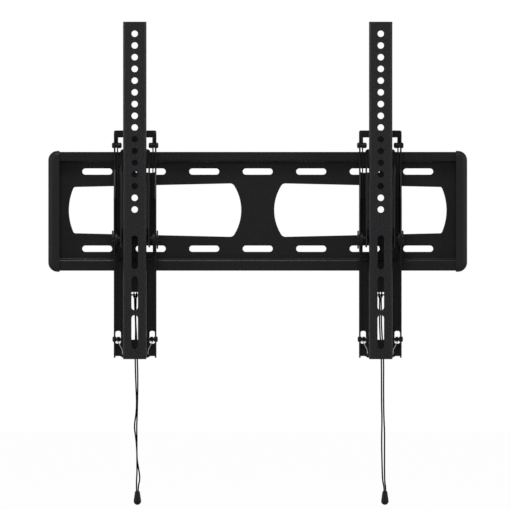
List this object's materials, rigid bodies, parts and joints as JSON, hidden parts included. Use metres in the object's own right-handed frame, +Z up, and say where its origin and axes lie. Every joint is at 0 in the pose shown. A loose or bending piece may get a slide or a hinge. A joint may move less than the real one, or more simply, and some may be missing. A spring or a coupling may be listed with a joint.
{
  "type": "tilting screen wall bracket",
  "caption": "Tilting wall bracket for a flat screen: slotted wall plate with hook-on arms, perforated screen rails, tilt knobs and pull-cord release locks.",
  "frame": {"origin": "on the back face of the wall plate, in the middle of its hole pattern", "axes": "+X along the wall plate, +Y into the wall, +Z up"},
  "size_m": [0.539, 0.066, 0.6202],
  "materials": {
    "black_coat": "fine textured black powder coat",
    "black_plastic": "moulded black plastic, lightly grained",
    "spring_wire": "bright drawn spring wire",
    "black_cord": "braided black cord"
  },
  "bodies": {
    "wall": {"wall_plate": "black_coat", "end_cap_left": "black_plastic", "end_cap_right": "black_plastic"},
    "left_hook": {"left_hook_bracket": "black_coat", "left_guide_pins": "black_coat", "left_hook_rivets": "black_coat", "left_spring_studs": "black_coat", "left_hook_plate_outer": "black_coat", "left_hook_plate_inner": "black_coat", "left_pivot_spacer_outer": "black_plastic", "left_pivot_spacer_inner": "black_plastic", "left_knob_washer_outer": "black_coat", "left_knob_washer_inner": "black_coat", "left_lock_spring_outer": "spring_wire", "left_lock_spring_inner": "spring_wire"},
    "left_tilt": {"left_tilt_bracket": "black_coat", "left_screen_rail": "black_coat", "left_pivot_bolt_outer": "black_coat", "left_pivot_bolt_inner": "black_coat"},
    "left_lock": {"left_lock_plate": "black_coat", "left_cord_knot": "black_cord", "left_cord_left_strand": "black_cord", "left_cord_right_strand": "black_cord", "left_cord_pull": "black_plastic"},
    "left_knob_outer": {"left_tilt_knob_outer": "black_plastic"},
    "left_knob_inner": {"left_tilt_knob_inner": "black_plastic"},
    "right_hook": {"right_hook_bracket": "black_coat", "right_guide_pins": "black_coat", "right_hook_rivets": "black_coat", "right_spring_studs": "black_coat", "right_hook_plate_outer": "black_coat", "right_hook_plate_inner": "black_coat", "right_pivot_spacer_outer": "black_plastic", "right_pivot_spacer_inner": "black_plastic", "right_knob_washer_outer": "black_coat", "right_knob_washer_inner": "black_coat", "right_lock_spring_outer": "spring_wire", "right_lock_spring_inner": "spring_wire"},
    "right_tilt": {"right_tilt_bracket": "black_coat", "right_screen_rail": "black_coat", "right_pivot_bolt_outer": "black_coat", "right_pivot_bolt_inner": "black_coat"},
    "right_lock": {"right_lock_plate": "black_coat", "right_cord_knot": "black_cord", "right_cord_left_strand": "black_cord", "right_cord_right_strand": "black_cord", "right_cord_pull": "black_plastic"},
    "right_knob_outer": {"right_tilt_knob_outer": "black_plastic"},
    "right_knob_inner": {"right_tilt_knob_inner": "black_plastic"}
  },
  "joints": [
    {"name": "left_arm_slide", "type": "slide", "parent": "wall", "child": "left_hook", "axis": [1, 0, 0], "range_m": [-0.065, 0.1075]},
    {"name": "left_tilt_hinge", "type": "hinge", "parent": "left_hook", "child": "left_tilt", "pos_m": [-0.1575, -0.035, -0.038], "axis": [1, 0, 0], "range_deg": [-3, 10]},
    {"name": "left_lock_slide", "type": "slide", "parent": "left_hook", "child": "left_lock", "axis": [0, 0, -1], "range_m": [0, 0.009], "stiffness_N_per_m": 800, "springref_m": -0.008, "deforming": ["left_lock_spring_outer", "left_lock_spring_inner"]},
    {"name": "left_knob_outer_turn", "type": "hinge", "parent": "left_hook", "child": "left_knob_outer", "pos_m": [-0.1575, -0.035, -0.038], "axis": [-1, 0, 0], "continuous": true},
    {"name": "left_knob_inner_turn", "type": "hinge", "parent": "left_hook", "child": "left_knob_inner", "pos_m": [-0.1575, -0.035, -0.038], "axis": [1, 0, 0], "continuous": true},
    {"name": "right_arm_slide", "type": "slide", "parent": "wall", "child": "right_hook", "axis": [1, 0, 0], "range_m": [-0.1075, 0.065]},
    {"name": "right_tilt_hinge", "type": "hinge", "parent": "right_hook", "child": "right_tilt", "pos_m": [0.1575, -0.035, -0.038], "axis": [1, 0, 0], "range_deg": [-3, 10]},
    {"name": "right_lock_slide", "type": "slide", "parent": "right_hook", "child": "right_lock", "axis": [0, 0, -1], "range_m": [0, 0.009], "stiffness_N_per_m": 800, "springref_m": -0.008, "deforming": ["right_lock_spring_outer", "right_lock_spring_inner"]},
    {"name": "right_knob_outer_turn", "type": "hinge", "parent": "right_hook", "child": "right_knob_outer", "pos_m": [0.1575, -0.035, -0.038], "axis": [1, 0, 0], "continuous": true},
    {"name": "right_knob_inner_turn", "type": "hinge", "parent": "right_hook", "child": "right_knob_inner", "pos_m": [0.1575, -0.035, -0.038], "axis": [-1, 0, 0], "continuous": true}
  ]
}
